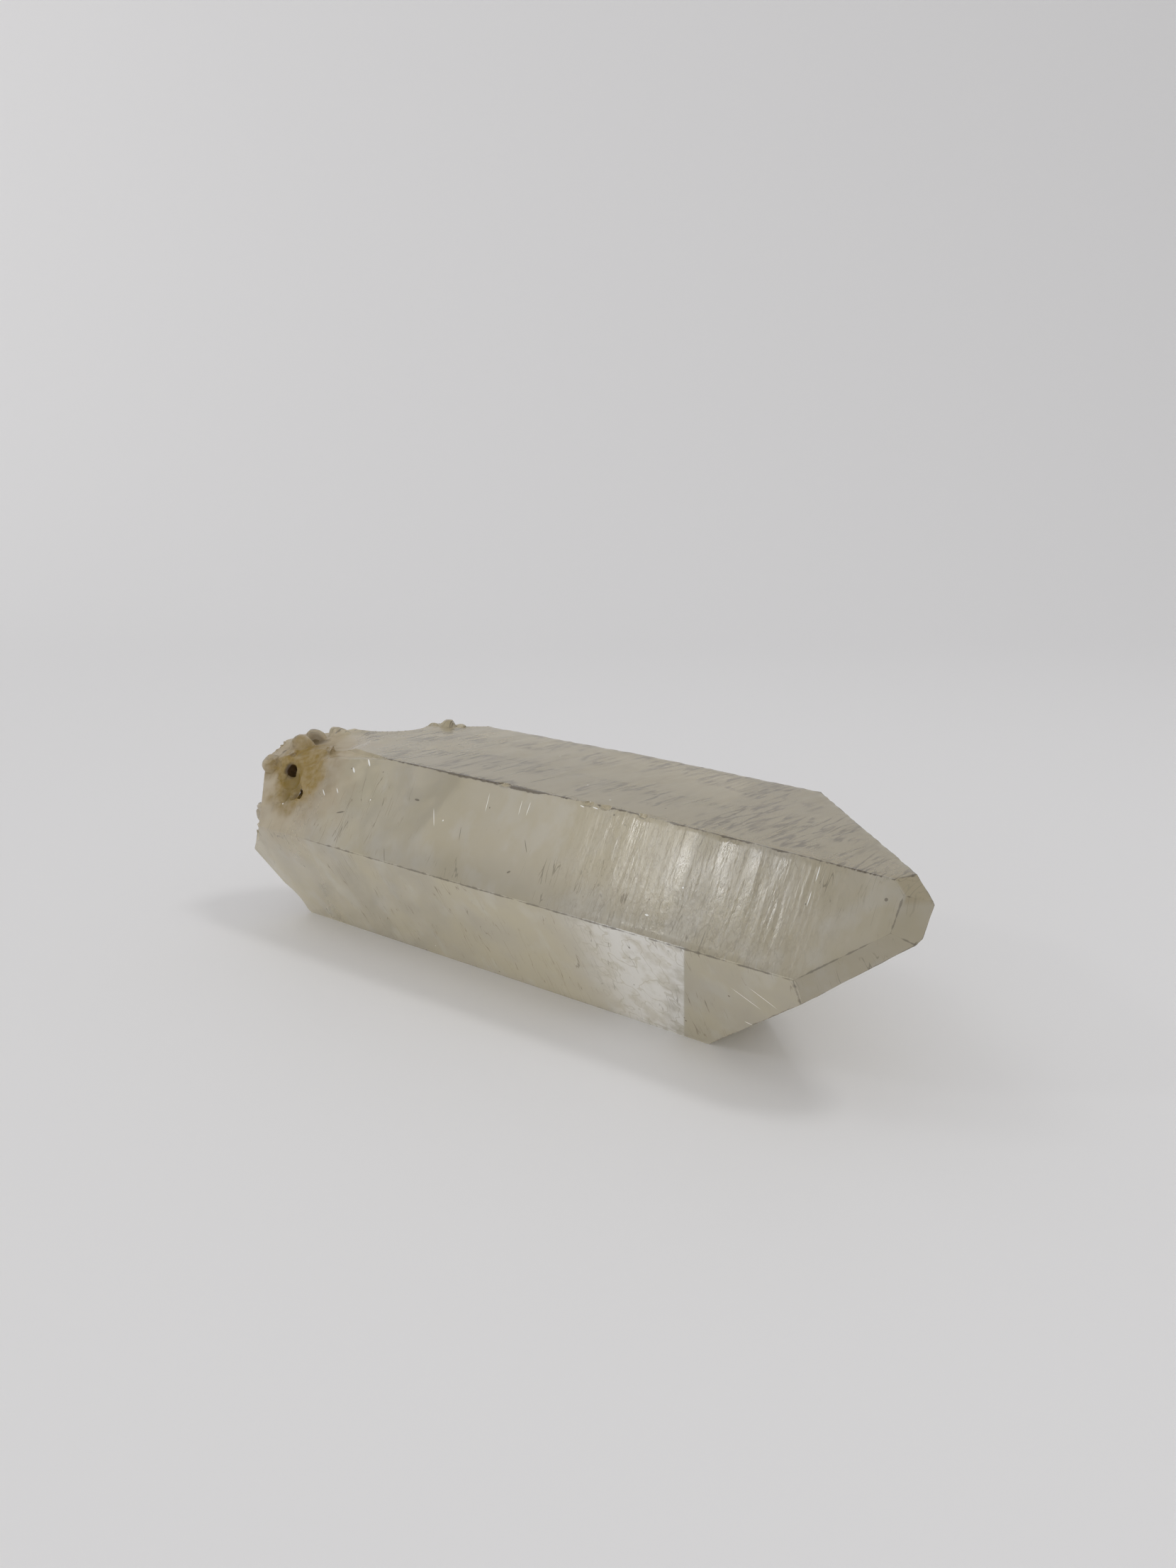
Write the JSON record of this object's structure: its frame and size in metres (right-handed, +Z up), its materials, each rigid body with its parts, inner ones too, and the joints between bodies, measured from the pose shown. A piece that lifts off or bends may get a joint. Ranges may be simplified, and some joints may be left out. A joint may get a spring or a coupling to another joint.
{
  "type": "quartz crystal",
  "caption": "Natural quartz point with flat prism faces, a blunt pointed tip and a rough broken base, lying on its widest face.",
  "frame": {"origin": "middle of the bounding box, on the face that the crystal rests on", "axes": "+X along the crystal's long axis towards its tip, +Z up, +Y from the front face to the back"},
  "size_m": [0.1614, 0.0652, 0.0442],
  "materials": {
    "clear_quartz": "clear to milky warm grey quartz, etched and finely lined faces, iron stain and dirt at the broken end and edges"
  },
  "bodies": {
    "root": {"crystal": "clear_quartz"}
  },
  "joints": []
}
